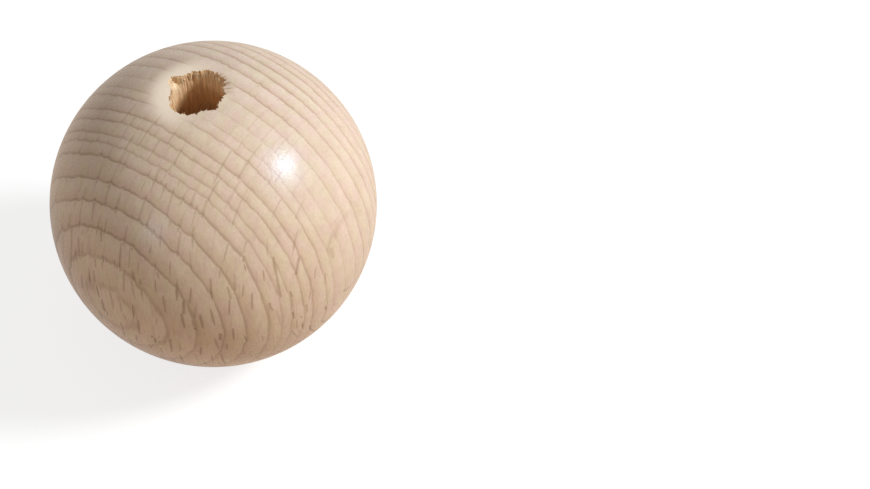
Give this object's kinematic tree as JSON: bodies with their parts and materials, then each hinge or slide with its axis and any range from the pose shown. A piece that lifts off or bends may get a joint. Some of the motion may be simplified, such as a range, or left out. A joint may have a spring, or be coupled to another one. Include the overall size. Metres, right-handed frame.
{
  "type": "drilled wooden ball",
  "caption": "Turned beech ball with one hole drilled through its middle along the grain and slightly rounded lips at both ends.",
  "frame": {"origin": "centre of the ball, halfway along the drilled hole", "axes": "+Z along the drilled hole, which is also the direction of the wood's fibres; +X and +Y square to it"},
  "size_m": [0.04, 0.04, 0.0392],
  "materials": {
    "beech": "fine sanded and lightly waxed, with a soft sheen"
  },
  "bodies": {
    "root": {"ball": "beech"}
  },
  "joints": []
}
